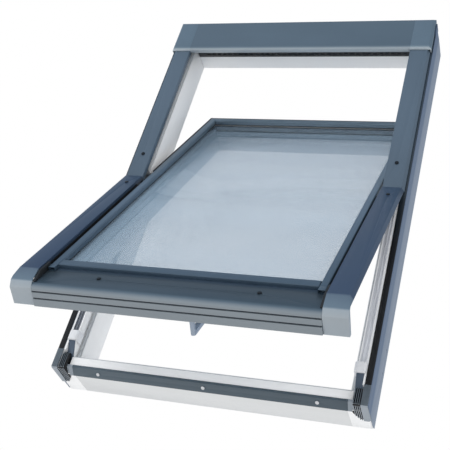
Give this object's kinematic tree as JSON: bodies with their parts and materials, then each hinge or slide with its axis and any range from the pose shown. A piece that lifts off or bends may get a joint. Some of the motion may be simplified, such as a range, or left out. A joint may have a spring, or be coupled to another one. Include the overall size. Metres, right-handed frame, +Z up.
{
  "type": "centre-pivot roof window",
  "caption": "Centre-pivot roof window with its white frame, blue-grey metal covers and hood, and a glazed sash that tilts about a pivot near mid-height; drawn part open.",
  "frame": {"origin": "middle of the underside of the sill rail, 40 mm out from the room side of the frame", "axes": "+Z up the slope along the jambs, -Y to the weather side, +X to the right as seen from the weather side"},
  "size_m": [0.78, 0.6323, 1.192],
  "materials": {
    "frame_lacquer": "smooth white lacquer over timber",
    "sash_lacquer": "smooth white lacquer over timber",
    "frame_seal_rubber": "matt pale grey rubber",
    "seal_rubber": "matt black rubber",
    "corner_plastic": "matt grey-blue plastic",
    "dark_plastic": "matt dark grey plastic",
    "sill_metal": "matt dark grey-blue coating",
    "cladding_metal": "matt grey-blue coating",
    "drain_metal": "plain mill finish",
    "upper_cover_metal": "matt blue-grey coating",
    "lower_cover_metal": "matt blue-grey coating",
    "bottom_cover_metal": "satin blue-grey coating",
    "bead_metal": "satin blue-grey coating",
    "cover_screw": "dark coated steel",
    "bright_metal": "plain zinc-plated steel",
    "hinge_metal": "zinc-plated steel",
    "white_plastic": "moulded white plastic",
    "handle_metal": "satin anodised",
    "pane_glass": "clear float glass with a faint blue tint",
    "spacer": "dark anodised hollow section"
  },
  "bodies": {
    "frame": {"sill_rail": "frame_lacquer", "head_rail": "frame_lacquer", "left_jamb": "frame_lacquer", "right_jamb": "frame_lacquer", "lower_frame_seal": "frame_seal_rubber", "upper_frame_seal": "frame_seal_rubber", "head_vent_strip": "dark_plastic", "sill_cladding": "sill_metal", "sill_screws": "bright_metal", "left_side_cladding": "cladding_metal", "right_side_cladding": "cladding_metal", "left_drain_channel": "drain_metal", "right_drain_channel": "drain_metal", "left_upper_cover": "upper_cover_metal", "right_upper_cover": "upper_cover_metal", "upper_cover_clips": "dark_plastic", "upper_cover_screws": "cover_screw", "hood": "upper_cover_metal", "left_hood_cap": "upper_cover_metal", "right_hood_cap": "upper_cover_metal", "hood_blocks": "dark_plastic", "left_corner_block": "corner_plastic", "right_corner_block": "corner_plastic", "left_guide_plate": "drain_metal", "right_guide_plate": "drain_metal", "left_guide_cap": "white_plastic", "right_guide_cap": "white_plastic", "left_hinge_housing": "hinge_metal", "right_hinge_housing": "hinge_metal", "striker_plate": "bright_metal"},
    "sash": {"sash_foot_rail": "sash_lacquer", "sash_head_rail": "sash_lacquer", "left_stile": "sash_lacquer", "right_stile": "sash_lacquer", "outer_pane": "pane_glass", "middle_pane": "pane_glass", "inner_pane": "pane_glass", "outer_spacer": "spacer", "inner_spacer": "spacer", "glazing_tape": "seal_rubber", "glazing_gasket": "seal_rubber", "left_bead": "bead_metal", "right_bead": "bead_metal", "head_bead": "bead_metal", "foot_bead": "bead_metal", "sash_side_seals": "seal_rubber", "sash_head_seal": "seal_rubber", "left_lower_cover": "lower_cover_metal", "right_lower_cover": "lower_cover_metal", "lower_cover_clips": "dark_plastic", "lower_cover_screws": "cover_screw", "bottom_cover": "bottom_cover_metal", "deck_end_blocks": "dark_plastic", "bottom_cover_screws": "cover_screw", "left_hinge_arm": "hinge_metal", "right_hinge_arm": "hinge_metal", "handle_base": "white_plastic"},
    "handle": {"handle_lever": "handle_metal"},
    "bolt": {"lock_bolt": "bright_metal"}
  },
  "joints": [
    {"name": "sash_pivot", "type": "hinge", "parent": "frame", "child": "sash", "pos_m": [0, -0.086, 0.592], "axis": [-1, 0, 0], "range_deg": [-29.5, 80]},
    {"name": "handle_turn", "type": "hinge", "parent": "sash", "child": "handle", "pos_m": [0, -0.23443, 0.09001], "axis": [0, 0.8704, -0.4924], "range_deg": [0, 90]},
    {"name": "bolt_slide", "type": "slide", "parent": "sash", "child": "bolt", "axis": [0, -0.4924, -0.8704], "range_m": [0, 0.014]}
  ],
  "couplings": [
    {"joint": "bolt_slide", "follows": "handle_turn", "m_per_rad": 0.008913}
  ]
}
